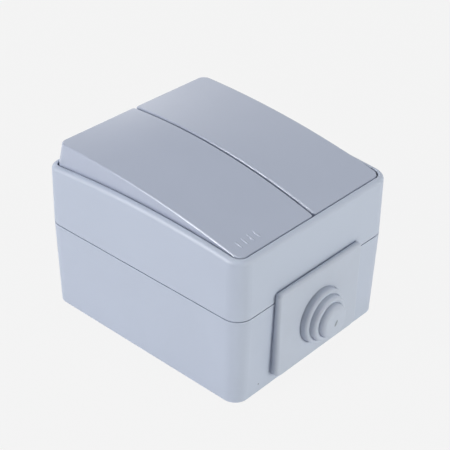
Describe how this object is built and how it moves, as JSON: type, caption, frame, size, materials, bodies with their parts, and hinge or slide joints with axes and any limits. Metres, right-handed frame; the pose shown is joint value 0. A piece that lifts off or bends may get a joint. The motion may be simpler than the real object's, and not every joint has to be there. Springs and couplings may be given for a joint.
{
  "type": "outdoor weatherproof switch",
  "caption": "Surface-mounted weatherproof rocker switch: drafted box, arched cover frame, side-by-side crowned rockers and a stepped rubber cable entry at the short side.",
  "frame": {"origin": "centre of the box's flat back face, which rests on the wall", "axes": "+Z out of the wall towards the rockers, +Y along the long side away from the cable entry, +X along the short side"},
  "size_m": [0.066, 0.0847, 0.0561],
  "materials": {
    "housing_plastic": "fine matt moulded thermoplastic, blue-grey",
    "rocker_plastic": "satin moulded thermoplastic, blue-grey",
    "grommet_rubber": "matt moulded rubber, blue-grey",
    "seal_rubber": "black moulded rubber",
    "membrane_rubber": "soft grey silicone rubber",
    "mechanism_plastic": "off-white thermoset, matt",
    "cradle_plastic": "dark grey nylon, matt",
    "plunger_plastic": "natural white acetal, satin",
    "spring_steel": "drawn spring steel wire",
    "contact_copper": "stamped copper alloy with a silver button",
    "terminal_brass": "stamped brass",
    "plated_steel": "zinc plated steel"
  },
  "bodies": {
    "housing": {"base_box": "housing_plastic", "cover_frame": "housing_plastic", "cable_entry_grommet": "grommet_rubber", "cover_gasket": "seal_rubber", "cover_screw_seals": "seal_rubber", "sealing_membrane": "membrane_rubber", "membrane_retainer": "mechanism_plastic", "mechanism_body": "mechanism_plastic", "mechanism_top": "mechanism_plastic", "common_terminal_left": "terminal_brass", "common_terminal_right": "terminal_brass", "load_terminal_left": "terminal_brass", "load_terminal_right": "terminal_brass", "terminal_screws": "plated_steel", "mechanism_screws": "plated_steel", "cover_screws": "plated_steel"},
    "rocker_left": {"rocker_left": "rocker_plastic"},
    "cradle_left": {"cradle_left": "cradle_plastic", "plunger_left": "plunger_plastic", "detent_spring_left": "spring_steel"},
    "contact_left": {"contact_bridge_left": "contact_copper"},
    "rocker_right": {"rocker_right": "rocker_plastic"},
    "cradle_right": {"cradle_right": "cradle_plastic", "plunger_right": "plunger_plastic", "detent_spring_right": "spring_steel"},
    "contact_right": {"contact_bridge_right": "contact_copper"}
  },
  "joints": [
    {"name": "rocker_left_hinge", "type": "hinge", "parent": "housing", "child": "rocker_left", "pos_m": [-0.01552, 0, 0.043], "axis": [-1, 0, 0], "range_deg": [0, 12.7], "deforming": ["sealing_membrane"]},
    {"name": "cradle_left_hinge", "type": "hinge", "parent": "housing", "child": "cradle_left", "pos_m": [-0.01552, 0, 0.027], "axis": [-1, 0, 0], "range_deg": [0, 12.7]},
    {"name": "contact_left_hinge", "type": "hinge", "parent": "housing", "child": "contact_left", "pos_m": [-0.01552, 0, 0.011], "axis": [1, 0, 0], "range_deg": [0, 14]},
    {"name": "rocker_right_hinge", "type": "hinge", "parent": "housing", "child": "rocker_right", "pos_m": [0.01552, 0, 0.043], "axis": [-1, 0, 0], "range_deg": [0, 12.7], "deforming": ["sealing_membrane"]},
    {"name": "cradle_right_hinge", "type": "hinge", "parent": "housing", "child": "cradle_right", "pos_m": [0.01552, 0, 0.027], "axis": [-1, 0, 0], "range_deg": [0, 12.7]},
    {"name": "contact_right_hinge", "type": "hinge", "parent": "housing", "child": "contact_right", "pos_m": [0.01552, 0, 0.011], "axis": [1, 0, 0], "range_deg": [0, 14]}
  ],
  "couplings": [
    {"joint": "cradle_left_hinge", "follows": "rocker_left_hinge", "ratio": 1},
    {"joint": "contact_left_hinge", "follows": "rocker_left_hinge", "ratio": 1.1023},
    {"joint": "cradle_right_hinge", "follows": "rocker_right_hinge", "ratio": 1},
    {"joint": "contact_right_hinge", "follows": "rocker_right_hinge", "ratio": 1.1023}
  ]
}
